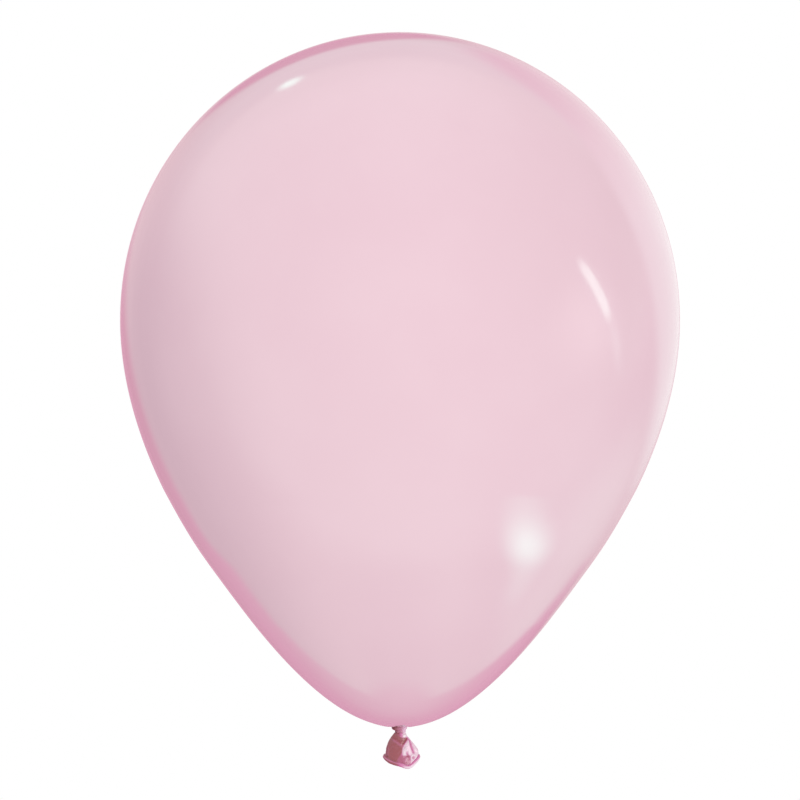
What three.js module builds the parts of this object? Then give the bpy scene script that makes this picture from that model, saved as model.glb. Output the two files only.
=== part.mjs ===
// A round party balloon of latex film, blown up and tied closed, with its slack tail under the knot.
// Millimetres. The origin is the pinch of the neck just under the knot, where a ribbon is tied.
// +Z runs up through the crown. The tail is a flattened bell: wide along X, thin along Y.
import * as THREE from "three";

// Inflated skin: half of its outline, from the edge beside the throat, up round the widest part, to the crown.
const SKIN_WALL = 0.4;
const SKIN_EDGE = new THREE.Vector2(7.25, 2.85);
const FLANK_JOIN = new THREE.Vector2(104.7, 92.7);
const WIDEST = new THREE.Vector2(150, 221);
const CROWN = new THREE.Vector2(0, 375.3);
const SKIN_SIDES = 48;
const SKIN_BANDS = 25;
const SKIN_BAND_SPREAD = 1.15;

// Throat: the gathered film that closes the skin above the knot.
const THROAT_PLEATS = 14;
const PLEAT_DEPTH = 0.12;
const THROAT_SIDES = 28;

// Knot: two wraps of neck over a hollow seat, so that the ball of the neck can tip inside it.
const KNOT_SEAT_RADIUS = 3.78;
const KNOT_LEAN = 0.3;
const KNOT_SHIFT = -0.5;
const KNOT_SIDES = 24;

// Neck: the ball that the tail bends about.
const NECK_BALL = 2.65;
const NECK_TOP_BALL = 3.42;
const NECK_HALF_WIDTH = 2.5;

// Tail: a thin bell from the neck down to the mouth.
const TAIL_WALL = 0.45;
const TAIL_TOP_RADIUS = 3.05;
const TAIL_TOP_DEPTH = 1.0;
const MOUTH_HALF_WIDTH = 8.75;
const MOUTH_HALF_THICKNESS = 5.0;
const MOUTH_SHIFT = 0.65;
const HEM_SIDE_DEPTH = 12.0;
const HEM_MIDDLE_DROP = 3.0;
const HEM_FRONT_DROP = 1.7;
const HEM_SKEW = 0.3;
const FOLDS = 7;
const FOLD_DEPTH = 0.035;
const TAIL_SIDES = 36;
const TAIL_BANDS = 6;

// Rolled bead round the mouth.
const BEAD_RADIUS = 1.0;
const BEAD_BELOW_HEM = 1.45;
const BEAD_SIDES = 7;

// Film colours: pale where it is stretched, deep where it is slack and thick.
const STRETCHED_FILM = "#eecfda";
const GATHERED_FILM = "#dda6bd";
const SLACK_FILM = "#c0719b";
const ROLLED_FILM = "#b4628c";

const FULL_TURN = 2 * Math.PI;

// One ring of points, anticlockwise as seen from above.
function ring(sides, pointAt) {
  return Array.from({ length: sides }, (_, i) => pointAt((i / sides) * FULL_TURN));
}

// A closed body from rings of equal count. The outside skin's rings run upwards, the inside skin's downwards.
// Either it ends in a point at each end, or its last ring joins its first.
function bodyFromRings(rings, ends = null) {
  const sides = rings[0].length;
  const points = rings.flat();
  const faces = [];
  const joints = ends ? rings.length - 1 : rings.length;
  for (let r = 0; r < joints; r++) {
    const low = r * sides;
    const high = ((r + 1) % rings.length) * sides;
    for (let i = 0; i < sides; i++) {
      const next = (i + 1) % sides;
      faces.push(low + i, low + next, high + next);
      faces.push(low + i, high + next, high + i);
    }
  }
  if (ends) {
    const first = points.push(ends.first) - 1;
    const last = points.push(ends.last) - 1;
    const top = (rings.length - 1) * sides;
    for (let i = 0; i < sides; i++) {
      const next = (i + 1) % sides;
      faces.push(first, next, i);
      faces.push(last, top + i, top + next);
    }
  }
  const geometry = new THREE.BufferGeometry().setFromPoints(points);
  geometry.setIndex(faces);
  geometry.computeVertexNormals();
  return geometry;
}

function turned(radius, height, angle) {
  return new THREE.Vector3(radius * Math.cos(angle), radius * Math.sin(angle), height);
}

function film(name, geometry, color, roughness) {
  const mesh = new THREE.Mesh(
    geometry,
    new THREE.MeshStandardMaterial({ color, roughness, metalness: 0, side: THREE.DoubleSide }),
  );
  mesh.name = name;
  return mesh;
}

// Half of the skin's outline in radius and height.
function skinOutline() {
  const path = new THREE.CurvePath();
  path.add(
    new THREE.CubicBezierCurve(
      SKIN_EDGE,
      new THREE.Vector2(47.4, 7.7),
      new THREE.Vector2(88.1, 70.1),
      FLANK_JOIN,
    ),
  );
  path.add(
    new THREE.CubicBezierCurve(
      FLANK_JOIN,
      new THREE.Vector2(116, 108.1),
      new THREE.Vector2(WIDEST.x, 162.1),
      WIDEST,
    ),
  );
  path.add(
    new THREE.CubicBezierCurve(
      WIDEST,
      new THREE.Vector2(WIDEST.x, 309),
      new THREE.Vector2(81, CROWN.y),
      CROWN,
    ),
  );
  return path;
}

function envelope() {
  const outline = skinOutline();
  const outside = [];
  const inside = [];
  for (let i = 0; i < SKIN_BANDS; i++) {
    const share = (i / SKIN_BANDS) ** SKIN_BAND_SPREAD;
    const point = outline.getPointAt(share);
    const along = outline.getTangentAt(share);
    outside.push(point);
    inside.unshift(new THREE.Vector2(point.x - SKIN_WALL * along.y, point.y + SKIN_WALL * along.x));
  }
  const rings = [...inside, ...outside].map((p) =>
    ring(SKIN_SIDES, (angle) => turned(p.x, p.y, angle)),
  );
  return bodyFromRings(rings, {
    first: new THREE.Vector3(0, 0, CROWN.y - SKIN_WALL),
    last: new THREE.Vector3(0, 0, CROWN.y),
  });
}

// Radius, height and how far the pleats show, from the underside out to the edge and back over the top.
function throat() {
  const profile = [
    [2.6, 5.05, 0],
    [4.7, 5.05, 0.1],
    [5.35, 4.5, 0.3],
    [5.75, 3.7, 0.6],
    [6.3, 3.1, 0.8],
    [6.85, 2.85, 0.3],
    [6.9, 3.1, 0.3],
    [6.5, 3.6, 0.8],
    [6.15, 4.4, 0.6],
    [5.6, 5.3, 0.4],
    [4.2, 6.1, 0.6],
    [2.6, 7.2, 0.8],
    [1.7, 9.0, 0.5],
  ];
  const rings = profile.map(([radius, height, pleating]) =>
    ring(THROAT_SIDES, (angle) => {
      const pleat = PLEAT_DEPTH * pleating * Math.cos(THROAT_PLEATS * angle);
      return turned(radius + pleat, height, angle);
    }),
  );
  return bodyFromRings(rings, {
    first: new THREE.Vector3(0, 0, 5.05),
    last: new THREE.Vector3(0, 0, 9.6),
  });
}

// The wraps lean and sit a little to one side. The hollow seat under them stays true.
function knot() {
  const seat = [1.3, 2.3, 2.95].map((radius) => [
    radius,
    Math.sqrt(KNOT_SEAT_RADIUS ** 2 - radius ** 2),
    0,
  ]);
  const wraps = [
    [3.4, 2.1, 0.7],
    [3.95, 2.2, 1],
    [4.3, 2.6, 1],
    [4.15, 3.05, 1],
    [3.8, 3.3, 1],
    [4.05, 3.6, 1],
    [4.0, 4.0, 1],
    [3.4, 4.3, 0.7],
    [2.2, 4.6, 0.3],
  ];
  const rings = [...seat, ...wraps].map(([radius, height, lean]) =>
    ring(KNOT_SIDES, (angle) => {
      const point = turned(radius, height + KNOT_LEAN * lean * Math.cos(angle), angle);
      point.x += KNOT_SHIFT * lean;
      return point;
    }),
  );
  return bodyFromRings(rings, {
    first: new THREE.Vector3(0, 0, KNOT_SEAT_RADIUS),
    last: new THREE.Vector3(0, 0, 4.7),
  });
}

// A ball, a little larger above its middle and flattened on its two sides there.
function neckWaist() {
  const bands = 10;
  const rings = [];
  const radiusAlong = (direction) => {
    const flat = NECK_HALF_WIDTH / Math.max(Math.abs(direction.x), 0.01);
    const above = Math.min(NECK_TOP_BALL, flat);
    return NECK_BALL + (above - NECK_BALL) * THREE.MathUtils.smoothstep(direction.z, 0, 0.35);
  };
  for (let band = 1; band < bands; band++) {
    const tilt = Math.PI * (band / bands);
    rings.push(
      ring(20, (angle) => {
        const direction = turned(Math.sin(tilt), -Math.cos(tilt), angle);
        return direction.multiplyScalar(radiusAlong(direction));
      }),
    );
  }
  return bodyFromRings(rings, {
    first: new THREE.Vector3(0, 0, -NECK_BALL),
    last: new THREE.Vector3(0, 0, NECK_TOP_BALL),
  });
}

// Depth of the tail's hem below the pinch: lowest in the middle, and lower in front (-Y) than behind.
function hemDepth(angle) {
  const across = Math.cos(angle);
  const facing = Math.sin(angle);
  return (
    HEM_SIDE_DEPTH +
    HEM_MIDDLE_DROP * facing ** 2 * (1 + HEM_SKEW * across) -
    HEM_FRONT_DROP * facing
  );
}

// Middle of the tail's film. Fall is 0 at the neck and 1 at the hem.
function tailPoint(angle, fall) {
  const width = MOUTH_HALF_WIDTH - (MOUTH_HALF_WIDTH - TAIL_TOP_RADIUS) * (1 - fall) ** 2;
  const thickness = TAIL_TOP_RADIUS + (MOUTH_HALF_THICKNESS - TAIL_TOP_RADIUS) * fall ** 1.2;
  const fold = 1 + FOLD_DEPTH * Math.sin(FOLDS * angle + 0.6) * Math.sin(Math.PI * fall);
  const shift = MOUTH_SHIFT * fall * (2 - fall);
  const depth = TAIL_TOP_DEPTH + (hemDepth(angle) - TAIL_TOP_DEPTH) * fall;
  return new THREE.Vector3(
    shift + width * fold * Math.cos(angle),
    thickness * fold * Math.sin(angle),
    -depth,
  );
}

// The same point moved half a wall out of, or into, the bell.
function tailSkinPoint(angle, fall, side) {
  const step = 0.001;
  const middle = tailPoint(angle, fall);
  const around = tailPoint(angle + step, fall).sub(tailPoint(angle - step, fall));
  const above = tailPoint(angle, Math.max(fall - step, 0));
  const below = tailPoint(angle, Math.min(fall + step, 1));
  const outward = around.cross(above.sub(below)).normalize();
  return middle.addScaledVector(outward, (side * TAIL_WALL) / 2);
}

function tailSkirt() {
  const rings = [];
  for (let band = 0; band <= TAIL_BANDS; band++) {
    rings.push(ring(TAIL_SIDES, (angle) => tailSkinPoint(angle, band / TAIL_BANDS, -1)));
  }
  for (let band = TAIL_BANDS; band >= 0; band--) {
    rings.push(ring(TAIL_SIDES, (angle) => tailSkinPoint(angle, band / TAIL_BANDS, 1)));
  }
  return bodyFromRings(rings);
}

// Centre line of the bead, just below the hem.
function beadCentre(angle) {
  return new THREE.Vector3(
    MOUTH_SHIFT + (MOUTH_HALF_WIDTH + 0.3) * Math.cos(angle),
    (MOUTH_HALF_THICKNESS + 0.3) * Math.sin(angle),
    -hemDepth(angle) - BEAD_BELOW_HEM,
  );
}

function rolledLip() {
  const rings = [];
  const step = 0.001;
  for (let k = 0; k < BEAD_SIDES; k++) {
    const turn = (k / BEAD_SIDES) * FULL_TURN - Math.PI / 2;
    rings.push(
      ring(TAIL_SIDES, (angle) => {
        const along = beadCentre(angle + step).sub(beadCentre(angle - step)).normalize();
        const outward = along.clone().cross(new THREE.Vector3(0, 0, 1)).normalize();
        const upward = outward.clone().cross(along);
        return beadCentre(angle)
          .addScaledVector(outward, BEAD_RADIUS * Math.cos(turn))
          .addScaledVector(upward, BEAD_RADIUS * Math.sin(turn));
      }),
    );
  }
  return bodyFromRings(rings);
}

const balloon = new THREE.Group();
balloon.name = "latex_balloon";
balloon.add(film("envelope", envelope(), STRETCHED_FILM, 0.3));
balloon.add(film("throat", throat(), GATHERED_FILM, 0.35));
balloon.add(film("knot", knot(), SLACK_FILM, 0.3));
balloon.add(film("neck_waist", neckWaist(), SLACK_FILM, 0.3));
balloon.add(film("tail_skirt", tailSkirt(), SLACK_FILM, 0.3));
balloon.add(film("rolled_lip", rolledLip(), ROLLED_FILM, 0.35));

export default balloon;
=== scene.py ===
"""Looks for a round latex party balloon, tied closed, with its slack tail under the knot.

Metres, in the row frame: the origin is the pinch of the neck, +Z runs up through the crown,
and -Y is the side that the tail shows flat. Lengths marked MM are millimetres.
"""
import math

import bpy
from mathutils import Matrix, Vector, noise


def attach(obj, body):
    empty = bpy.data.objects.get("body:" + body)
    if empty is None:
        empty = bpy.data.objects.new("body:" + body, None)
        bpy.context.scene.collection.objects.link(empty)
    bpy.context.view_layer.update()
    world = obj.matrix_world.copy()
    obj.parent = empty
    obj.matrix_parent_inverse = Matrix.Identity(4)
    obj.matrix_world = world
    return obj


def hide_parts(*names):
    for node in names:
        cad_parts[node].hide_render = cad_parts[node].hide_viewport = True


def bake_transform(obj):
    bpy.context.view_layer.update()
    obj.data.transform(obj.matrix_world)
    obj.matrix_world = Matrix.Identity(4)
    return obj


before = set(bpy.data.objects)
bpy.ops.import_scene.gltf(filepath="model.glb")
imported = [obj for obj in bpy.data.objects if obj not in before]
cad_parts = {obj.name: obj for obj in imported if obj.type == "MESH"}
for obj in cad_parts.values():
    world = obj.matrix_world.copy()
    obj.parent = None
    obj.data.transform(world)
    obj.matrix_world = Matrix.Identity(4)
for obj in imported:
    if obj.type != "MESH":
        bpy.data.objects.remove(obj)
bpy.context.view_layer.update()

MM = 0.001
FULL_TURN = 2 * math.pi

# Camera
CAMERA_LENS = 200
CAMERA_SENSOR = 36
CAMERA_DISTANCE = 2.386
CAMERA_HEIGHT = 0.1783


def smooth_step(value, low, high):
    """0 below low, 1 above high, and an even S between them."""
    share = min(max((value - low) / (high - low), 0.0), 1.0)
    return share * share * (3 - 2 * share)


def bump_at(value, centre, width):
    """A rounded hump, 1 at its centre."""
    return math.exp(-(((value - centre) / width) ** 2))


def angle_between(angle, centre):
    """Signed difference of two angles, from -pi to pi."""
    return (angle - centre + math.pi) % FULL_TURN - math.pi


# ---------------------------------------------------------------- meshes


def grid_mesh(name, rows, close_rows=False, ends=(None, None)):
    """A mesh from rings of points of equal count, anticlockwise from above and running upwards outside."""
    sides = len(rows[0])
    points = [point for row in rows for point in row]
    faces = []
    bands = len(rows) if close_rows else len(rows) - 1
    for band in range(bands):
        low = band * sides
        high = ((band + 1) % len(rows)) * sides
        for i in range(sides):
            j = (i + 1) % sides
            faces.append((low + i, low + j, high + j, high + i))
    first, last = ends
    if first is not None:
        points.append(first)
        faces.extend((len(points) - 1, (i + 1) % sides, i) for i in range(sides))
    if last is not None:
        points.append(last)
        top = (len(rows) - 1) * sides
        faces.extend((len(points) - 1, top + i, top + (i + 1) % sides) for i in range(sides))
    mesh = bpy.data.meshes.new(name)
    mesh.from_pydata([tuple(point) for point in points], [], faces)
    mesh.update()
    mesh.shade_smooth()
    piece = bpy.data.objects.new(name, mesh)
    bpy.context.scene.collection.objects.link(piece)
    return piece


def angles(sides):
    return [FULL_TURN * i / sides for i in range(sides)]


def turned(radius, height, angle):
    return Vector((radius * math.cos(angle), radius * math.sin(angle), height))


def bezier(points, share):
    """Point on a cubic curve through two control points."""
    a, b, c, d = points
    rest = 1 - share
    return (
        a * rest**3
        + b * (3 * rest * rest * share)
        + c * (3 * rest * share * share)
        + d * share**3
    )


# ---------------------------------------------------------------- envelope

# Half of the outline, radius and height in millimetres, from the knot up to the crown.
THROAT_TOP = Vector((1.6, 5.9))
SKIN_EDGE = Vector((7.25, 3.3))
FLANK_JOIN = Vector((104.4, 92.7))
WIDEST = Vector((150.0, 221.0))
CROWN = Vector((0.0, 375.3))
OUTLINE = (
    ((THROAT_TOP, Vector((3.0, 4.4)), Vector((4.6, 3.0)), SKIN_EDGE), 22),
    ((SKIN_EDGE, Vector((47.0, 8.3)), Vector((87.2, 70.0)), FLANK_JOIN), 90),
    ((FLANK_JOIN, Vector((115.9, 108.2)), Vector((150.0, 162.1)), WIDEST), 50),
    ((WIDEST, Vector((150.0, 309.0)), Vector((81.0, 375.3)), CROWN), 80),
)
SKIN_SIDES = 256
PLEATS = 15
BROAD_PLEATS = 7
PLEATS_FULL = 5.0
PLEATS_GONE = 25.0

# Heights between which the outline is eased, and how many times.
FAIRING = (60, 130)
FAIRING_PASSES = 60


def pleat_height(point, angle):
    """Gathers in the film round the knot, in millimetres, dying out with distance from the pinch."""
    near = 1 - smooth_step(math.hypot(point.x, point.y), PLEATS_FULL, PLEATS_GONE)
    fine = math.sin(PLEATS * angle + 0.8 * math.sin(3 * angle))
    broad = math.sin(BROAD_PLEATS * angle + 1.3)
    return (0.20 * fine + 0.12 * broad) * near**2


def faired_outline():
    """Points of the outline, with the change from flank to shoulder eased so that no line shows there."""
    points = [bezier(curve, step / steps) for curve, steps in OUTLINE for step in range(steps)]
    low, high = FAIRING
    for _ in range(FAIRING_PASSES):
        eased = list(points)
        for i in range(1, len(points) - 1):
            if low < points[i].y < high:
                eased[i] = (points[i - 1] + points[i] * 2 + points[i + 1]) / 4
        points = eased
    return points


def envelope_film():
    rows = []
    for point in faired_outline():
        row = [turned(point.x, point.y - pleat_height(point, angle), angle) for angle in angles(SKIN_SIDES)]
        rows.append([place * MM for place in row])
    return grid_mesh("envelope_film", rows, ends=(None, Vector((0, 0, CROWN.y)) * MM))


# ---------------------------------------------------------------- knot

# The strand in millimetres: radius of its coil and of its own section, height at its start, and fall.
KNOT_TURNS = 1.75
KNOT_COIL = 2.75
KNOT_STRAND = 1.32
KNOT_START = 3.75
KNOT_FALL = 1.75
KNOT_LEAN = 0.35
KNOT_SHIFT = -0.35
KNOT_END_SHARE = 0.09


def swept(name, centres, radii, sides):
    """A round strand along centres, with closed rounded ends."""
    rows = []
    count = len(centres)
    for k, (centre, radius) in enumerate(zip(centres, radii)):
        before = centres[max(k - 1, 0)]
        after = centres[min(k + 1, count - 1)]
        along = (after - before).normalized()
        out = Vector((centre.x, centre.y, 0)).normalized()
        out = (out - along * out.dot(along)).normalized()
        up = along.cross(out)
        row = []
        for angle in angles(sides):
            row.append(centre + (out * math.cos(angle) - up * math.sin(angle)) * radius)
        rows.append(row)
    return grid_mesh(name, rows, ends=(centres[0], centres[-1]))


def knot_wrap():
    """One strand of neck wound round itself, sinking from under the skin to the pinch."""
    centres = []
    radii = []
    steps = 150
    for k in range(steps + 1):
        share = k / steps
        angle = math.radians(200) + share * KNOT_TURNS * FULL_TURN
        lean = KNOT_LEAN * math.cos(angle - math.radians(20))
        height = KNOT_START - KNOT_FALL * share + lean
        radius = KNOT_COIL + 0.18 * math.sin(2 * angle + 0.7)
        full = min(min(share, 1 - share) / KNOT_END_SHARE, 1.0)
        thick = (KNOT_STRAND + 0.1 * math.sin(5 * angle)) * math.sqrt(full * (2 - full))
        tuck = 0.8 * (1 - full)
        centre = turned(radius - tuck, height, angle)
        centre.x += KNOT_SHIFT
        centres.append(centre * MM)
        radii.append(max(thick, 0.02) * MM)
    return swept("knot_wrap", centres, radii, 40)


# ---------------------------------------------------------------- neck and tail

NECK_RADIUS = 2.80
MOUTH_LEFT = 7.75
MOUTH_RIGHT = 9.95
MOUTH_HALF_THICKNESS = 5.0

# Shares of the fall from pinch to hem at which the tail film starts and ends, inside the bead.
TAIL_TOP = 0.015
HEM_TUCK = 1.045

# Depth of the hem at its sides, and how much lower it hangs in the middle, in front and at its lowest.
HEM_SIDE_DEPTH = 12.0
HEM_MIDDLE_DROP = 2.0
HEM_FRONT_DROP = 1.7
HEM_BELLY = 2.2

# Creases of the slack film, in millimetres: start (x, z), end (x, z), half width, and rise (below 0 is a
# hollow). The front list shows from -Y and the back list from +Y.
FRONT_CREASES = (
    ((-3.4, -4.0), (1.2, -7.3), 0.78, 0.30),
    ((-1.7, -0.4), (0.9, -2.6), 0.50, 0.34),
    ((-1.9, -2.9), (0.6, -4.5), 0.65, -0.34),
    ((3.7, -3.0), (2.0, -5.6), 0.50, -0.60),
    ((4.4, -5.2), (2.5, -8.4), 0.50, 0.50),
    ((2.5, -8.4), (2.2, -11.4), 0.80, 0.60),
    ((5.0, -3.6), (7.3, -10.8), 0.62, -0.46),
    ((6.8, -4.6), (9.4, -10.6), 0.55, 0.30),
    ((3.7, -10.8), (4.3, -12.4), 0.50, -0.40),
    ((3.4, -13.6), (2.6, -15.8), 0.60, 0.24),
    ((-6.2, -8.0), (-6.6, -12.0), 0.50, 0.16),
)
BACK_CREASES = (
    ((-1.0, -0.8), (-5.6, -11.4), 0.70, 0.50),
    ((-2.2, -4.0), (-3.4, -12.0), 0.50, -0.45),
    ((0.2, -1.2), (-0.8, -12.6), 0.75, 0.62),
    ((1.3, -3.4), (2.2, -12.2), 0.50, -0.52),
    ((2.2, -1.6), (5.2, -11.6), 0.70, 0.50),
    ((4.6, -5.0), (7.6, -11.0), 0.45, -0.40),
    ((-4.2, -5.2), (-6.4, -10.0), 0.45, -0.35),
    ((-3.0, -9.0), (2.0, -10.2), 0.55, -0.28),
)

# A round knob: (x, z) of its centre, radius and rise. A ring-shaped curl: centre, radius, width and rise.
KNOB = (Vector((2.3, -1.7)), 0.95, 0.62)
CURL = (Vector((7.3, -13.5)), 1.45, 0.45, 0.42)

# On the front, as (z, x) in millimetres from the top down: right edge of painted shade, left edge of painted
# light.
SHADE_EDGE = (
    (0.0, -0.4),
    (-2.3, 0.2),
    (-3.0, 3.8),
    (-4.0, 4.0),
    (-5.2, 3.0),
    (-6.6, 1.9),
    (-8.3, 1.3),
    (-10.4, 1.1),
    (-12.5, 0.3),
    (-15.5, -1.2),
)
LIGHT_EDGE = (
    (0.0, 1.3),
    (-2.0, 1.5),
    (-3.0, 4.2),
    (-4.0, 4.3),
    (-5.2, 3.3),
    (-6.7, 2.3),
    (-8.3, 1.5),
    (-10.4, 1.2),
    (-12.5, 1.5),
)


def hem_depth(angle):
    """Depth of the tail's hem: lowest in front, right of the middle, and higher behind."""
    across = math.cos(angle)
    facing = math.sin(angle)
    front_belly = HEM_BELLY * bump_at(across, 0.5, 0.38) * smooth_step(-facing, 0, 0.5)
    return HEM_SIDE_DEPTH + HEM_MIDDLE_DROP * facing**2 + front_belly - HEM_FRONT_DROP * facing


def bell_point(angle, fall):
    """The tail without its creases, in millimetres. Fall is 0 at the pinch and 1 at the hem."""
    across = math.cos(angle)
    if across < 0:
        width = MOUTH_LEFT - (MOUTH_LEFT - NECK_RADIUS) * max(1 - fall, 0) ** 2.15
    else:
        opened = 0.45 * smooth_step(fall, -0.02, 0.92) + 0.55 * min(1.3 * fall, 1.0)
        width = NECK_RADIUS + (MOUTH_RIGHT - NECK_RADIUS) * opened
    thickness = NECK_RADIUS + (MOUTH_HALF_THICKNESS - NECK_RADIUS) * fall**1.25
    return Vector((width * across, thickness * math.sin(angle), -hem_depth(angle) * fall))


def to_segment(place, start, end):
    """Distance from a place to a straight line between two places."""
    along = end - start
    share = min(max((place - start).dot(along) / along.length_squared, 0.0), 1.0)
    return (place - start - along * share).length


def crease_heights(angle, fall):
    """Ridge height and hollow depth of the creased film at a point of the bell, in millimetres."""
    point = bell_point(angle, fall)
    place = Vector((point.x, point.z))
    front = smooth_step(-math.sin(angle), 0.0, 0.4)
    back = smooth_step(math.sin(angle), 0.0, 0.4)
    ridge = 0.0
    hollow = 0.0
    for creases, shown in ((FRONT_CREASES, front), (BACK_CREASES, back)):
        if shown == 0:
            continue
        for start, end, half_width, rise in creases:
            near = bump_at(to_segment(place, Vector(start), Vector(end)), 0, half_width) * shown
            ridge += max(rise, 0) * near
            hollow += max(-rise, 0) * near
    centre, radius, rise = KNOB
    ridge += rise * bump_at((place - centre).length, 0, radius) * front
    centre, radius, width, rise = CURL
    ridge += rise * bump_at((place - centre).length, radius, width) * front
    hollow += rise * bump_at((place - centre).length, 0, radius * 0.5) * front
    open_up = smooth_step(fall, 0.0, 0.12) * (1 - 0.7 * smooth_step(fall, 0.9, 1.0))
    return ridge * open_up, hollow * open_up


def twist_height(angle, height):
    """Small spiral pleats where the neck is wrung."""
    return 0.16 * math.sin(8 * angle + 0.9 * height) + 0.1 * math.sin(5 * angle - 1.1 * height + 1)


def tail_point(angle, fall):
    """Outside of the film with its creases."""
    point = bell_point(angle, fall)
    ridge, hollow = crease_heights(angle, fall)
    wrung = twist_height(angle, point.z) * (1 - smooth_step(fall, 0.0, 0.3))
    soft = 0.10 * noise.noise(point * 0.55) + 0.05 * noise.noise(point * 1.7)
    outward = Vector((math.cos(angle), math.sin(angle), -0.15)).normalized()
    return point + outward * (ridge - hollow + wrung + soft * smooth_step(fall, 0.05, 0.3))


def tail_film():
    """The slack bell as a closed shell: the creased outside, and a smooth inside up to the pinch."""
    sides = 300
    bands = 120
    falls = [TAIL_TOP + (HEM_TUCK - TAIL_TOP) * band / bands for band in range(bands + 1)]
    rows = []
    for fall in falls:
        inset = 0.75 - 0.42 * fall
        row = []
        for angle in angles(sides):
            point = bell_point(angle, fall)
            inward = Vector((math.cos(angle), math.sin(angle), 0)) * inset
            row.append((point - inward) * MM)
        rows.append(row)
    # The smooth inside of the bell gets deep painted shade all over, and no painted light.
    deep = [0.9] * (sides * len(rows))
    painted_light = [0.0] * len(deep)
    for fall in reversed(falls):
        for angle in angles(sides):
            shade_here, light_here = film_look(angle, fall)
            deep.append(shade_here)
            painted_light.append(light_here)
        rows.append([tail_point(angle, fall) * MM for angle in angles(sides)])
    tail = grid_mesh("tail_film", rows, close_rows=True)
    paint(tail, "deep", deep)
    paint(tail, "painted_light", painted_light)
    return tail


def along_line(line, height):
    """Where a line of (height, x) points, from the top down, stands at a height."""
    for (high, x_high), (low, x_low) in zip(line, line[1:]):
        if height >= low:
            share = min(max((high - height) / (high - low), 0.0), 1.0)
            return x_high + (x_low - x_high) * share
    return line[-1][1]


def film_look(angle, fall):
    """How much painted shade and how much painted light the film gets. Above 1, the painted light turns
    white as a painted highlight.
    """
    ridge, hollow = crease_heights(angle, fall)
    point = bell_point(angle, fall)
    facing = smooth_step(-math.sin(angle), -0.2, 0.4)
    # Painted shade: the left half, the hollows and a patch by the hem. Painted light: the right flank, the
    # ridges, and a white painted highlight on the knob.
    shaded_left = left_shade_share(point, facing)
    flank = lit_flank_share(point, facing)
    knob = bump_at((Vector((point.x, point.z)) - KNOB[0]).length, 0, 0.85) * facing
    deep = shaded_left * (1 - 1.0 * ridge) + hollow * (0.3 + 0.9 * shaded_left)
    ridge_highlight = 1.5 * ridge * (0.30 + 0.70 * (1 - shaded_left)) * (0.35 + 0.65 * flank)
    painted_light = 0.80 * flank + ridge_highlight - 1.9 * hollow
    return min(max(deep, 0.0), 1.0), max(min(painted_light, 0.95), 2.1 * knob, 0.0)


def left_shade_share(point, facing):
    """Painted shade on the left half of the tail, on its left behind, and in a patch by the hem."""
    soft = 0.40 + 0.9 * smooth_step(-point.z, 11.0, 13.5)
    front = smooth_step(along_line(SHADE_EDGE, point.z) - point.x, -soft, soft)
    slack = 0.62 * smooth_step(-point.z, 11.4, 13.0) * smooth_step(point.x, 6.6, 4.6)
    back = smooth_step(-1.0 - point.x, -1.5, 1.5) * 0.7
    return max(front, slack) * facing + back * (1 - facing)


def lit_flank_share(point, facing):
    """Painted light on the right side, cut out in a painted shade patch by the hem."""
    start = along_line(LIGHT_EDGE, point.z) * facing + 2.5 * (1 - facing)
    side = smooth_step(point.x, start - 0.3, start + 0.5)
    hem_shade_patch = smooth_step(-point.z, 11.6, 12.8) * smooth_step(point.x, 6.4, 5.2)
    return side * (1 - 0.95 * hem_shade_patch)


def paint(piece, name, values):
    """A value at each point, for the material to read."""
    layer = piece.data.attributes.new(name, "FLOAT", "POINT")
    layer.data.foreach_set("value", values)


# The neck in millimetres: its bottom and top, radius, swelling upwards, and shift to one side.
NECK_LOW = -1.1
NECK_HIGH = 3.8
NECK_FILM_RADIUS = 2.66
NECK_SWELL = 0.10
NECK_SHIFT = 0.12


def neck_film():
    """The wrung neck from inside the knot to just inside the top of the tail."""
    rows = []
    sides = 160
    steps = 40
    for k in range(steps + 1):
        height = NECK_LOW + (NECK_HIGH - NECK_LOW) * k / steps
        row = []
        for angle in angles(sides):
            wrung = twist_height(angle, height) * smooth_step(height, -1.0, 0.3)
            radius = NECK_FILM_RADIUS + NECK_SWELL * smooth_step(height, -0.6, 0.2) + wrung
            place = turned(radius, height, angle)
            place.x += NECK_SHIFT
            row.append(place * MM)
        rows.append(row)
    ends = (Vector((0, 0, NECK_LOW * MM)), Vector((0, 0, NECK_HIGH * MM)))
    return grid_mesh("neck_film", rows, ends=ends)


def bead_centre(angle):
    across = math.cos(angle)
    width = (MOUTH_LEFT + 0.45) if across < 0 else (MOUTH_RIGHT - 0.05)
    return Vector((width * across, (MOUTH_HALF_THICKNESS + 0.3) * math.sin(angle), -hem_depth(angle) - 1.0))


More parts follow.
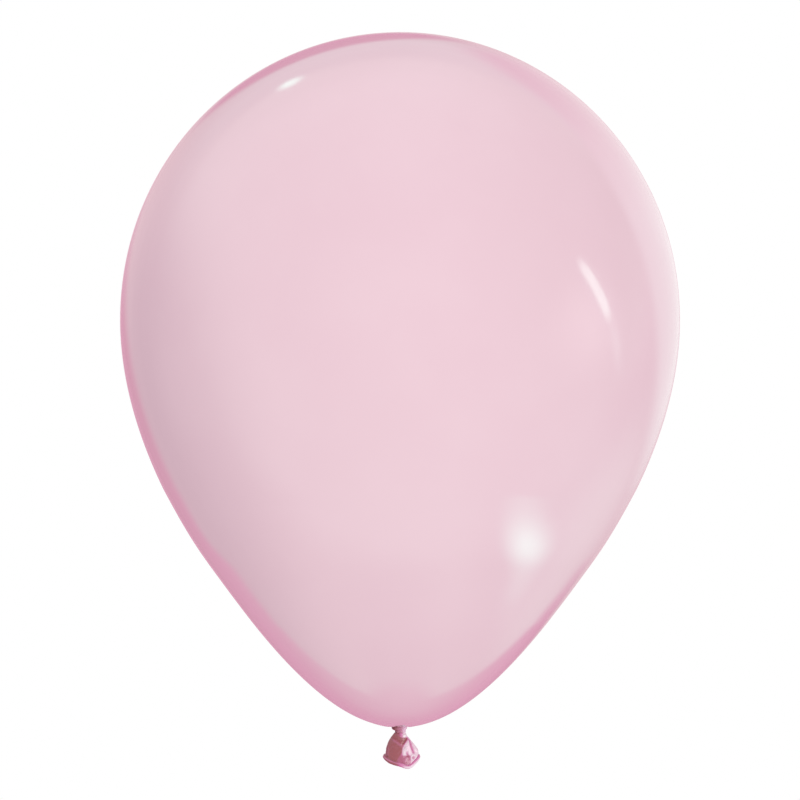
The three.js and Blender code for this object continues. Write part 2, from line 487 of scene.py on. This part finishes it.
def mouth_bead():
    """The rolled edge: a bead with the fine ridges of the roll running round it."""
    rows = []
    step = 0.002
    turns = 40
    for k in range(turns):
        roll = FULL_TURN * k / turns - math.pi / 2
        row = []
        for angle in angles(300):
            along = (bead_centre(angle + step) - bead_centre(angle - step)).normalized()
            outward = along.cross(Vector((0, 0, 1))).normalized()
            upward = outward.cross(along)
            uneven = noise.noise(Vector((3 * math.cos(angle), 3 * math.sin(angle), 0.0)))
            fine = noise.noise(Vector((9 * math.cos(angle), 9 * math.sin(angle), 0.35 * k)))
            radius = 1.03 + 0.045 * math.cos(6 * roll + 2 * angle) + 0.10 * uneven + 0.03 * fine
            reach = outward * math.cos(roll) + upward * math.sin(roll)
            row.append((bead_centre(angle) + reach * radius) * MM)
        rows.append(row)
    bead = grid_mesh("mouth_bead", rows, close_rows=True)
    # Painted shade on the left of the bead, and painted highlights on its crest and its lower right.
    deep = []
    painted_light = []
    for k in range(turns):
        roll = FULL_TURN * k / turns - math.pi / 2
        for angle in angles(300):
            across = math.cos(angle)
            left = smooth_step(across, 0.10, -0.35)
            crest_highlight = bump_at(angle_between(roll, math.radians(35)), 0, 0.38)
            under = smooth_step(-math.sin(roll), -0.55, 0.05) * smooth_step(across, 0.0, 0.40)
            deep.append(min(max(1.15 * left * (1 - 0.75 * crest_highlight), 0.0), 1.0))
            painted_light.append(min(0.95 * under + 0.12 * crest_highlight, 1.0))
    paint(bead, "deep", deep)
    paint(bead, "painted_light", painted_light)
    return bead


# ---------------------------------------------------------------- materials


class Nodes:
    """Short calls for building a node tree."""

    def __init__(self, tree):
        self.tree = tree

    def add(self, kind, **values):
        node = self.tree.nodes.new(kind)
        for name, value in values.items():
            setattr(node, name, value)
        return node

    def link(self, start, end):
        self.tree.links.new(start, end)

    def noise(self, vector, scale, detail=3.0, roughness=0.55):
        node = self.add("ShaderNodeTexNoise")
        node.inputs["Scale"].default_value = scale
        node.inputs["Detail"].default_value = detail
        node.inputs["Roughness"].default_value = roughness
        self.link(vector, node.inputs["Vector"])
        return node.outputs["Fac"]

    def map(self, value, low, high, to_low=0.0, to_high=1.0, smooth=True):
        node = self.add("ShaderNodeMapRange")
        node.interpolation_type = "SMOOTHSTEP" if smooth else "LINEAR"
        node.inputs["From Min"].default_value = low
        node.inputs["From Max"].default_value = high
        node.inputs["To Min"].default_value = to_low
        node.inputs["To Max"].default_value = to_high
        self.link(value, node.inputs["Value"])
        return node.outputs["Result"]

    def math(self, operation, first, second=0.0):
        node = self.add("ShaderNodeMath", operation=operation)
        for socket, value in zip(node.inputs, (first, second)):
            if isinstance(value, (int, float)):
                socket.default_value = value
            else:
                self.link(value, socket)
        return node.outputs["Value"]

    def dot(self, vector, fixed):
        node = self.add("ShaderNodeVectorMath", operation="DOT_PRODUCT")
        self.link(vector, node.inputs[0])
        node.inputs[1].default_value = fixed
        return node.outputs["Value"]

    def mix(self, share, first, second):
        node = self.add("ShaderNodeMix", data_type="RGBA")
        for socket, value in ((node.inputs[0], share), (node.inputs[6], first), (node.inputs[7], second)):
            if isinstance(value, (int, float)):
                socket.default_value = value
            elif isinstance(value, tuple):
                socket.default_value = (*value, 1.0)
            else:
                self.link(value, socket)
        return node.outputs[2]


def film_shader(name, roughness, coat_roughness):
    """A film with a soft gloss and a sharper clear coat over it: the shader and its node tree."""
    material = bpy.data.materials.new(name)
    material.use_nodes = True
    nodes = Nodes(material.node_tree)
    shader = material.node_tree.nodes["Principled BSDF"]
    position = nodes.add("ShaderNodeTexCoord").outputs["Object"]
    dust = nodes.noise(position, 260.0, 3.0)
    nodes.link(nodes.map(dust, 0.3, 0.7, roughness * 0.85, roughness * 1.15), shader.inputs["Roughness"])
    shader.inputs["IOR"].default_value = 1.5
    shader.inputs["Coat Weight"].default_value = 1.0
    shader.inputs["Coat Roughness"].default_value = coat_roughness
    shader.inputs["Coat IOR"].default_value = 1.5
    return material, nodes, shader, position


def fine_relief(nodes, shader, position, scale, depth, strength):
    """The faint orange peel of dipped latex."""
    bump = nodes.add("ShaderNodeBump")
    bump.inputs["Strength"].default_value = strength
    bump.inputs["Distance"].default_value = depth
    nodes.link(nodes.noise(position, scale, 2.0), bump.inputs["Height"])
    nodes.link(bump.outputs["Normal"], shader.inputs["Normal"])


SKIN_COLOUR = (0.902, 0.660, 0.735)
SKIN_CLOUD = (0.888, 0.640, 0.718)
SKIN_DEEP = (0.70, 0.37, 0.50)


def skin_material():
    """Pale stretched film, a little cloudy, deeper by the knot where it is stretched less."""
    material, nodes, shader, position = film_shader("stretched_latex", 0.12, 0.06)
    cloud = nodes.map(nodes.noise(position, 14.0, 4.0), 0.3, 0.7)
    colour = nodes.mix(cloud, SKIN_CLOUD, SKIN_COLOUR)
    distance = nodes.add("ShaderNodeVectorMath", operation="LENGTH")
    nodes.link(position, distance.inputs[0])
    by_knot = nodes.map(distance.outputs["Value"], 0.003, 0.016, 0.6, 0.0)
    nodes.link(nodes.mix(by_knot, colour, SKIN_DEEP), shader.inputs["Base Color"])
    fine_relief(nodes, shader, position, 420.0, 0.00004, 0.10)
    return material


SLACK_MAUVE = (0.60, 0.15, 0.36)
# Mauve is the film's own colour; the brown is painted shade, the pale is painted light and the white is a
# painted highlight.
SLACK_PAINTED_SHADE = (0.31, 0.075, 0.085)
SLACK_PAINTED_LIGHT = (0.79, 0.64, 0.72)
SLACK_PAINTED_HIGHLIGHT = (0.93, 0.92, 0.92)


def slack_material():
    """Slack film: mauve, browner where shade is painted, pale where light is painted, and white where a
    highlight is painted.
    """
    material, nodes, shader, position = film_shader("slack_latex", 0.16, 0.08)
    deep = nodes.add("ShaderNodeAttribute", attribute_name="deep").outputs["Fac"]
    painted_light = nodes.add("ShaderNodeAttribute", attribute_name="painted_light").outputs["Fac"]
    patchy = nodes.math("SUBTRACT", nodes.noise(position, 700.0, 3.0), 0.5)
    deep = nodes.math("ADD", deep, nodes.math("MULTIPLY", patchy, 0.22))
    painted_light = nodes.math("ADD", painted_light, nodes.math("MULTIPLY", patchy, -0.15))
    colour = nodes.mix(nodes.map(deep, 0.0, 1.0, smooth=False), SLACK_MAUVE, SLACK_PAINTED_SHADE)
    colour = nodes.mix(nodes.map(painted_light, 0.0, 1.0, smooth=False), colour, SLACK_PAINTED_LIGHT)
    colour = nodes.mix(nodes.map(painted_light, 1.1, 1.8, smooth=False), colour, SLACK_PAINTED_HIGHLIGHT)
    nodes.link(colour, shader.inputs["Base Color"])
    fine_relief(nodes, shader, position, 2600.0, 0.00003, 0.25)
    return material


KNOT_MAUVE = (0.50, 0.17, 0.27)
# Mauve is the film's own colour; the dark is painted shade and the pale is painted light.
KNOT_PAINTED_SHADE = (0.21, 0.040, 0.038)
KNOT_PAINTED_LIGHT = (0.78, 0.50, 0.68)


def knot_material():
    """Wrung film: mauve, with painted shade on the left and painted light on the right."""
    material, nodes, shader, position = film_shader("knotted_latex", 0.16, 0.08)
    split = nodes.add("ShaderNodeSeparateXYZ")
    nodes.link(position, split.inputs["Vector"])
    patchy = nodes.math("MULTIPLY", nodes.math("SUBTRACT", nodes.noise(position, 600.0, 3.0), 0.5), 0.003)
    side = nodes.math("ADD", split.outputs["X"], patchy)
    colour = nodes.mix(nodes.map(side, -0.0030, -0.0002), KNOT_PAINTED_SHADE, KNOT_MAUVE)
    colour = nodes.mix(nodes.map(side, 0.0004, 0.0026), colour, KNOT_PAINTED_LIGHT)
    nodes.link(colour, shader.inputs["Base Color"])
    fine_relief(nodes, shader, position, 2600.0, 0.00003, 0.25)
    return material


# ---------------------------------------------------------------- stage and lights


def compass(azimuth, elevation):
    """Direction with its azimuth turned right from +Y, in degrees."""
    turn = math.radians(azimuth)
    rise = math.radians(elevation)
    return Vector((math.sin(turn) * math.cos(rise), math.cos(turn) * math.cos(rise), math.sin(rise)))


def round_panel(nodes, direction, azimuth, elevation, inner, outer):
    """1 within inner degrees of a direction, and 0 beyond outer degrees."""
    angle = nodes.math("ARCCOSINE", nodes.dot(direction, compass(azimuth, elevation)))
    return nodes.map(angle, math.radians(outer), math.radians(inner))


def oval_panel(nodes, direction, azimuth, elevation, half_size, tilt, soft, blunt=2):
    """An oval of half sizes in degrees, leaning tilt degrees, which fades out over its outer share soft.

    A blunt of 2 is an ellipse, and a larger even number squares it off.
    """
    centre = compass(azimuth, elevation)
    east = Vector((math.cos(math.radians(azimuth)), -math.sin(math.radians(azimuth)), 0))
    north = east.cross(centre)
    lean = math.radians(tilt)
    wide = east * math.cos(lean) + north * math.sin(lean)
    tall = north * math.cos(lean) - east * math.sin(lean)
    powers = []
    for axis, size in ((wide, half_size[0]), (tall, half_size[1])):
        reach = nodes.math("ABSOLUTE", nodes.dot(direction, axis / math.sin(math.radians(size))))
        powers.append(nodes.math("POWER", reach, blunt))
    rim = nodes.math("POWER", nodes.math("ADD", *powers), 1 / blunt)
    inside = nodes.map(rim, 1.0, 1.0 - soft)
    return nodes.math("MULTIPLY", inside, nodes.map(nodes.dot(direction, centre), 0.0, 0.1))


def any_of(nodes, shares):
    """Union of soft shares."""
    outside = 1.0
    for share in shares:
        outside = nodes.math("MULTIPLY", nodes.math("SUBTRACT", 1.0, share), outside)
    return nodes.math("SUBTRACT", 1.0, outside)


def reflected_room(nodes, direction, up, back):
    """What the gloss shows: a pale room, dim on the left, with deep pink cloth behind and below."""
    colour = nodes.mix(nodes.map(back, 0.2, -0.8), (1.17, 1.03, 1.04), (0.84, 0.60, 0.69))
    colour = nodes.mix(nodes.map(up, 0.0, -1.0), colour, (1.05, 0.90, 0.93))
    colour = nodes.mix(round_panel(nodes, direction, 92, 22, 11, 74), colour, (0.62, 0.45, 0.46))
    colour = nodes.mix(round_panel(nodes, direction, -7, -31, 63, 83), colour, (0.80, 0.56, 0.62))
    colour = nodes.mix(round_panel(nodes, direction, -70, -14, 13, 55), colour, (0.33, 0.17, 0.25))
    ceiling = nodes.math("MULTIPLY", round_panel(nodes, direction, 0, -25, 55, 104), nodes.map(up, 0.0, 1.7))
    colour = nodes.mix(ceiling, colour, (0.09, 0.0, 0.0))
    hoop = round_panel(nodes, direction, 2, -6, 57.2, 62.2)
    colour = nodes.mix(nodes.math("MULTIPLY", hoop, nodes.map(up, 0.28, 0.60)), colour, (0.77, 0.64, 0.68))
    glow = oval_panel(nodes, direction, 58, -31, (46, 21), -24, 1.0)
    colour = nodes.mix(glow, colour, (1.05, 1.0, 0.98))
    side_glow = oval_panel(nodes, direction, 97, -2, (26, 20), 0, 1.0)
    colour = nodes.mix(side_glow, colour, (1.25, 1.08, 1.08))
    colour = nodes.mix(round_panel(nodes, direction, 0, -90, 8, 24), colour, (0.70, 0.42, 0.52))
    colour = nodes.mix(window_share(nodes, direction), colour, window_colour(nodes, direction))
    cloth = any_of(
        nodes,
        (
            round_panel(nodes, direction, -3, -40, 30, 33.5),
            round_panel(nodes, direction, -16, -13, 13.5, 23),
            round_panel(nodes, direction, -7, 22.5, 8, 12.8),
            round_panel(nodes, direction, 0, -68, 9, 20),
        ),
    )
    return nodes.mix(cloth, colour, cloth_colour(nodes, up, back))


def window_share(nodes, direction):
    """A bright doorway behind on the right, with its top rounded off."""
    shapes = (
        round_panel(nodes, direction, 31, 13, 19, 28.5),
        round_panel(nodes, direction, 38, 20, 11, 21),
        round_panel(nodes, direction, 26, 28, 10, 19),
    )
    return any_of(nodes, shapes)


def window_colour(nodes, direction):
    """White low on the right of the doorway, falling to deep pink at its upper left."""
    slope = nodes.dot(direction, (-0.5, 0.0, 1.0))
    colour = nodes.mix(nodes.map(slope, -0.05, 0.20, smooth=False), (1.0, 0.93, 0.94), (0.88, 0.67, 0.72))
    return nodes.mix(nodes.map(slope, 0.20, 0.42, smooth=False), colour, (0.77, 0.41, 0.54))


def cloth_colour(nodes, up, back):
    """Pink cloth straight behind, deepening away from there, and a little lighter low down."""
    outward = nodes.map(nodes.math("ARCCOSINE", back), 0.0, math.radians(49), smooth=False)
    level = nodes.mix(outward, (0.78, 0.49, 0.60), (0.515, 0.0, 0.173))
    low = nodes.mix(outward, (0.92, 0.60, 0.74), (0.68, 0.04, 0.29))
    return nodes.mix(nodes.map(up, -0.12, -0.50), level, low)


def lamps_in_gloss(nodes, direction, colour):
    """Lamps in the gloss: a small one up on the left, a strip with a faint trail, and one low down."""
    small = oval_panel(nodes, direction, -30.5, 46.7, (4.4, 3.5), -50, 0.8)
    colour = nodes.mix(small, colour, (1.5, 2.4, 2.05))
    trail = oval_panel(nodes, direction, 81, -5, (12.0, 4.0), 52, 1.0)
    colour = nodes.mix(trail, colour, (1.2, 1.25, 1.2))
    strip = oval_panel(nodes, direction, 92.2, 8.6, (12.6, 2.6), 51, 0.45, 4)
    colour = nodes.mix(strip, colour, (2.4, 3.3, 2.9))
    low = oval_panel(nodes, direction, 82.3, -47.0, (23, 7.0), -17, 1.0)
    colour = nodes.mix(low, colour, (2.0, 3.6, 3.05))
    return colour


def studio_world():
    """White to the camera, an even soft light on the film, and a pale room in its gloss."""
    world = bpy.data.worlds.new("studio")
    world.use_nodes = True
    bpy.context.scene.world = world
    tree = world.node_tree
    tree.nodes.clear()
    nodes = Nodes(tree)
    direction = nodes.add("ShaderNodeTexCoord").outputs["Generated"]
    split = nodes.add("ShaderNodeSeparateXYZ")
    nodes.link(direction, split.inputs["Vector"])
    right, back, up = split.outputs["X"], split.outputs["Y"], split.outputs["Z"]

    gloss = lamps_in_gloss(nodes, direction, reflected_room(nodes, direction, up, back))

    # Soft light: from before and behind, a little more from the right and from above.
    facing = nodes.math("MULTIPLY", back, back)
    soft = nodes.mix(facing, (0.715, 0.655, 0.705), (1.285, 1.335, 1.275))
    lift = nodes.math("ADD", nodes.math("MULTIPLY", right, 0.09), nodes.math("MULTIPLY", up, 0.01))
    lifted = nodes.add("ShaderNodeVectorMath", operation="SCALE")
    nodes.link(soft, lifted.inputs[0])
    nodes.link(nodes.math("ADD", lift, 1.0), lifted.inputs["Scale"])
    soft = lifted.outputs["Vector"]

    paths = nodes.add("ShaderNodeLightPath")
    shown = nodes.mix(paths.outputs["Is Glossy Ray"], soft, gloss)
    shown = nodes.mix(paths.outputs["Is Camera Ray"], shown, (1.0, 1.0, 1.0))
    background = nodes.add("ShaderNodeBackground")
    nodes.link(shown, background.inputs["Color"])
    output = nodes.add("ShaderNodeOutputWorld")
    nodes.link(background.outputs["Background"], output.inputs["Surface"])


FLOOR_HEIGHT = -0.9


def studio_floor():
    """A plain pale disc far under the floating balloon."""
    rings = (1.2, 0.8, 0.4)
    rows = [[turned(radius, FLOOR_HEIGHT, angle) for angle in angles(96)] for radius in rings]
    floor = grid_mesh("studio_floor", rows, ends=(None, Vector((0, 0, FLOOR_HEIGHT))))
    material = bpy.data.materials.new("pale_floor")
    material.use_nodes = True
    nodes = Nodes(material.node_tree)
    shader = material.node_tree.nodes["Principled BSDF"]
    position = nodes.add("ShaderNodeTexCoord").outputs["Object"]
    shade = nodes.mix(nodes.noise(position, 3.0), (0.93, 0.93, 0.93), (0.96, 0.96, 0.96))
    nodes.link(shade, shader.inputs["Base Color"])
    shader.inputs["Roughness"].default_value = 0.9
    floor.data.materials.append(material)
    floor.visible_diffuse = False
    floor.visible_glossy = False


def tail_softbox(receivers):
    """A small soft lamp from the right that only the slack film catches."""
    data = bpy.data.lights.new("tail_softbox", "AREA")
    data.shape = "RECTANGLE"
    data.size, data.size_y = 0.30, 0.30
    data.energy = 0.55
    thing = bpy.data.objects.new("tail_softbox", data)
    bpy.context.scene.collection.objects.link(thing)
    place = Vector((0.34, -0.40, 0.10))
    thing.location = place
    thing.rotation_euler = (Vector((0, 0, -0.008)) - place).to_track_quat("-Z", "Y").to_euler()
    thing.visible_camera = False
    group = bpy.data.collections.new("slack_film_lit")
    for piece in receivers:
        group.objects.link(piece)
    thing.light_linking.receiver_collection = group


def camera():
    data = bpy.data.cameras.new("camera")
    data.lens = CAMERA_LENS
    data.sensor_width = CAMERA_SENSOR
    data.clip_end = 50
    thing = bpy.data.objects.new("camera", data)
    bpy.context.scene.collection.objects.link(thing)
    thing.location = (0, -CAMERA_DISTANCE, CAMERA_HEIGHT)
    thing.rotation_euler = (math.pi / 2, 0, 0)
    bpy.context.scene.camera = thing


# ---------------------------------------------------------------- the balloon

camera()
studio_world()
studio_floor()
bpy.context.scene.view_settings.view_transform = "Standard"

slack_look = slack_material()
knot_look = knot_material()

skin = envelope_film()
skin.data.materials.append(skin_material())
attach(skin, "balloon")
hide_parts("envelope", "throat")

knot = knot_wrap()
knot.data.materials.append(knot_look)
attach(knot, "knot")
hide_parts("knot")

neck = neck_film()
neck.data.materials.append(knot_look)
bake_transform(neck)
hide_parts("neck_waist")

tail = tail_film()
tail.data.materials.append(slack_look)
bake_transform(tail)
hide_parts("tail_skirt")

bead = mouth_bead()
bead.data.materials.append(slack_look)
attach(bead, "tail")
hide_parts("rolled_lip")

tail_softbox((knot, neck, tail, bead))

# The skin would otherwise mirror the tail as a greyish patch above the knot.
for piece in (tail, bead):
    piece.visible_glossy = False
